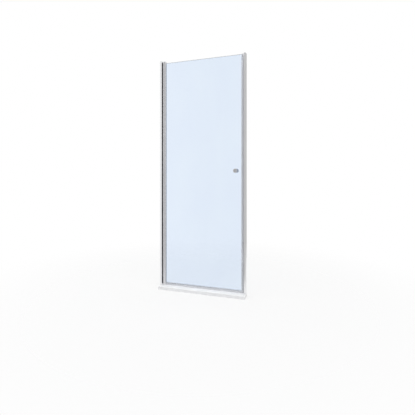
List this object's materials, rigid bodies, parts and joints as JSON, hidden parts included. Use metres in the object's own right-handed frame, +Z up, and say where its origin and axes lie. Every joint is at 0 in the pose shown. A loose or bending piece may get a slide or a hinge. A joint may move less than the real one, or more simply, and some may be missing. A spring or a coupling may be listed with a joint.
{
  "type": "shower door",
  "caption": "Pivot shower door for a niche: clear glass leaf on a round pivot rail between two wall profiles, with round knob, magnetic edge seal and white threshold sill.",
  "frame": {"origin": "on the underside of the sill, midway between the two walls, in the middle plane of the closed glass", "axes": "+X from the hinge wall to the strike wall, +Y into the shower, +Z up"},
  "size_m": [0.76, 0.088, 1.98],
  "materials": {
    "bright_aluminium": "bright anodised extrusion",
    "white_sill": "smooth white",
    "clear_glass": "clear toughened safety glass, polished edges",
    "clear_seal": "milky clear soft extrusion",
    "magnet_strip": "flexible magnet strip",
    "grey_rubber": "soft matt gasket",
    "grey_plastic": "light grey moulding",
    "white_bearing_plastic": "smooth bearing plastic",
    "chromed_casting": "chromed zinc casting",
    "chromed_knob": "chromed turning",
    "stainless_steel": "plain stainless"
  },
  "bodies": {
    "frame": {"sill": "white_sill", "sill_end_caps": "white_sill", "wall_channel_left": "bright_aluminium", "wall_channel_right": "bright_aluminium", "hinge_post": "bright_aluminium", "strike_post": "bright_aluminium", "hinge_post_screws": "stainless_steel", "hinge_post_screw_covers": "grey_plastic", "strike_post_screws": "stainless_steel", "strike_post_screw_covers": "grey_plastic", "strike_top_cap": "grey_plastic", "top_pivot_bracket": "chromed_casting", "bottom_pivot_bracket": "chromed_casting", "pivot_bracket_screws": "stainless_steel", "bush_lock_screws": "stainless_steel", "top_pivot_bush": "white_bearing_plastic", "bottom_pivot_bush": "white_bearing_plastic", "thrust_washer": "white_bearing_plastic", "hinge_gasket": "grey_rubber", "strike_magnet_carrier": "clear_seal", "strike_magnet": "magnet_strip", "door_stop_strip": "clear_seal"},
    "door": {"pivot_rail": "bright_aluminium", "glazing_gasket": "grey_rubber", "glass_panel": "clear_glass", "rail_top_cap": "grey_plastic", "rail_bottom_cap": "grey_plastic", "top_pivot_pin": "stainless_steel", "bottom_pivot_pin": "stainless_steel", "pin_lock_screws": "stainless_steel", "door_magnet_carrier": "clear_seal", "door_magnet": "magnet_strip", "bottom_drip_seal": "clear_seal", "knob_outer": "chromed_knob", "knob_inner": "chromed_knob", "knob_lock_screw": "stainless_steel", "knob_stud": "stainless_steel", "knob_sleeve": "clear_seal", "knob_washers": "clear_seal"}
  },
  "joints": [
    {"name": "door_swing", "type": "hinge", "parent": "frame", "child": "door", "pos_m": [-0.344, 0, 0.9975], "axis": [0, 0, -1], "range_deg": [0, 100]}
  ]
}
